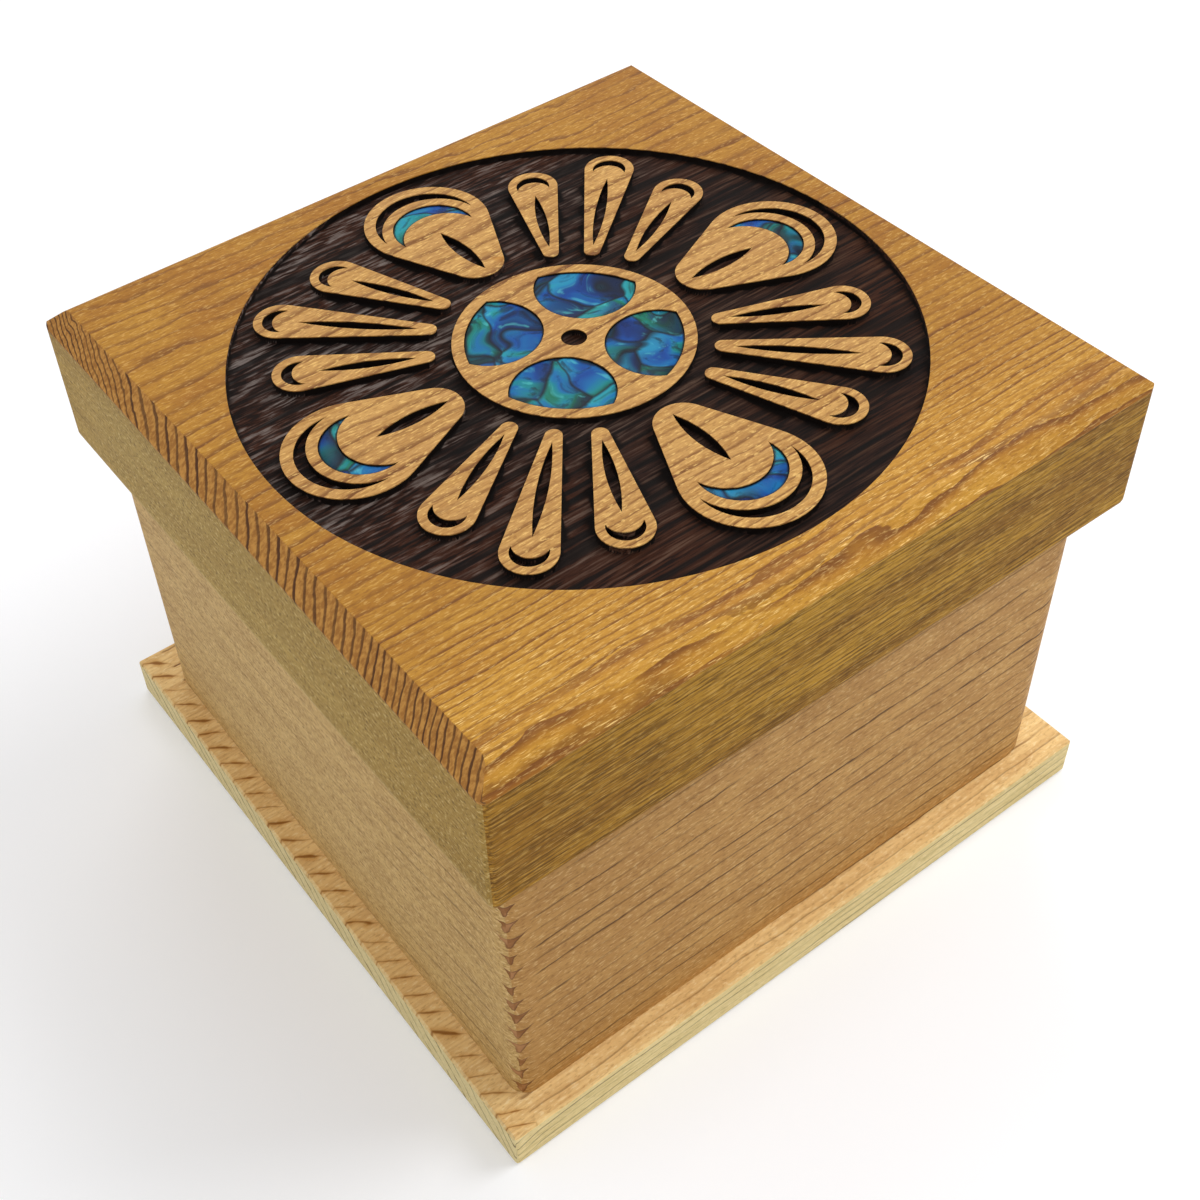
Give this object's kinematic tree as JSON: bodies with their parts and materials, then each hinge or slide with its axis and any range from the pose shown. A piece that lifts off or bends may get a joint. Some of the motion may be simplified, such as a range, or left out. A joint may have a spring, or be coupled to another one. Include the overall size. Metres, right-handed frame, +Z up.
{
  "type": "bentwood box",
  "caption": "Square cedar box with walls bent from one kerfed plank, an overhanging base and a lift-off lid whose carved disc is inlaid with shell.",
  "frame": {"origin": "middle of the base's underside", "axes": "+Z up through the lid; -Y is the face seen on the right in the picture and -X the face seen on the left, so the closed corner is at -X, -Y; the grain of the lid and the base runs along X"},
  "size_m": [0.143, 0.143, 0.1076],
  "materials": {
    "wall_cedar": "satin, sparse dark growth lines along the plank",
    "base_cedar": "satin, pale sides, growth lines along X",
    "peg_wood": "matt end grain",
    "rim_cedar": "satin, fine grain along the strip",
    "lid_cedar": "satin, grain along X, ground of the medallion burnt dark",
    "abalone": "polished shell, blue to green"
  },
  "bodies": {
    "box": {"side_plank": "wall_cedar", "base_board": "base_cedar", "base_pegs": "peg_wood"},
    "lid": {"lid_rim": "rim_cedar", "lid_board": "lid_cedar", "shell_petal_1": "abalone", "shell_petal_2": "abalone", "shell_petal_3": "abalone", "shell_petal_4": "abalone", "shell_crescent_1": "abalone", "shell_crescent_2": "abalone", "shell_crescent_3": "abalone", "shell_crescent_4": "abalone"}
  },
  "joints": [
    {"name": "lid_lift", "type": "slide", "parent": "box", "child": "lid", "axis": [0, 0, 1], "range_m": [0, 0.06]}
  ]
}
